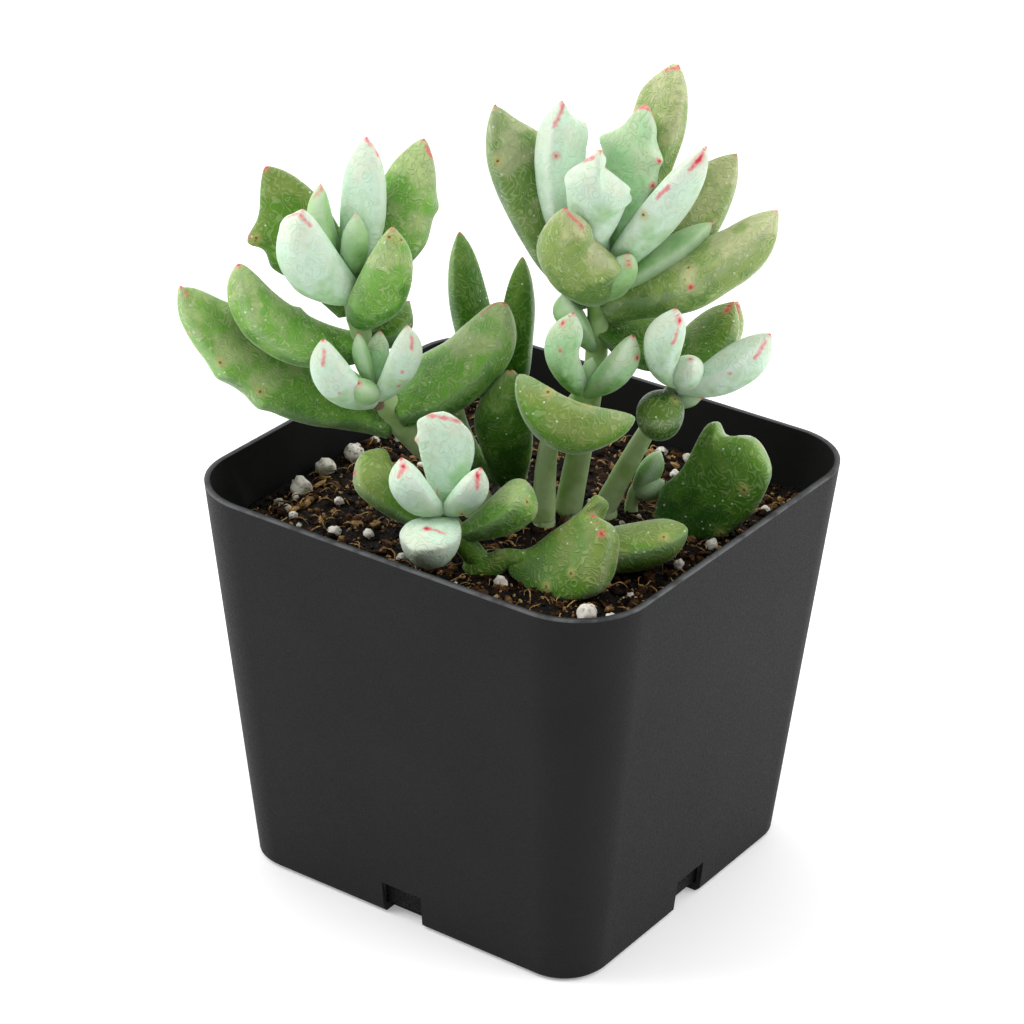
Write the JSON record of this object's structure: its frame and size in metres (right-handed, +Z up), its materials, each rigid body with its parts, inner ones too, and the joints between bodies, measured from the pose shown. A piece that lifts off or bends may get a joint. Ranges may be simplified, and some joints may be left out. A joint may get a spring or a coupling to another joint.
{
  "type": "potted cotyledon",
  "caption": "Small branched succulent with plump, toothed, pale-dusted leaves on short stems, rooted in gritty soil in a square tapered nursery pot.",
  "frame": {"origin": "middle of the pot's foot, on the surface that the pot stands on", "axes": "+Z up; +X to the pot's right side and +Y to its back, square to the pot's walls"},
  "size_m": [0.093, 0.0844, 0.1448],
  "materials": {
    "pot_plastic": "charcoal black, fine-grained matte moulded polypropylene",
    "soil": "dark brown peat and bark mix with white perlite grains",
    "leaf_green": "living leaf, waxy semi-matte, mid green to olive with grey-green powdery bloom and brick red teeth",
    "leaf_mint": "living leaf, matte, pale mint under a white powdery bloom, pink at the teeth",
    "leaf_olive": "living leaf, waxy semi-matte, olive green with pale tips and fine white specks"
  },
  "bodies": {
    "root": {"pot": "pot_plastic", "soil": "soil", "left_branch": "leaf_green", "left_side_shoot": "leaf_mint", "rear_shoot": "leaf_green", "right_branch": "leaf_green", "middle_shoot": "leaf_olive", "right_side_shoot": "leaf_mint", "front_left_shoot": "leaf_mint", "front_low_shoot": "leaf_green", "right_low_shoot": "leaf_green", "small_sprout": "leaf_green"}
  },
  "joints": []
}
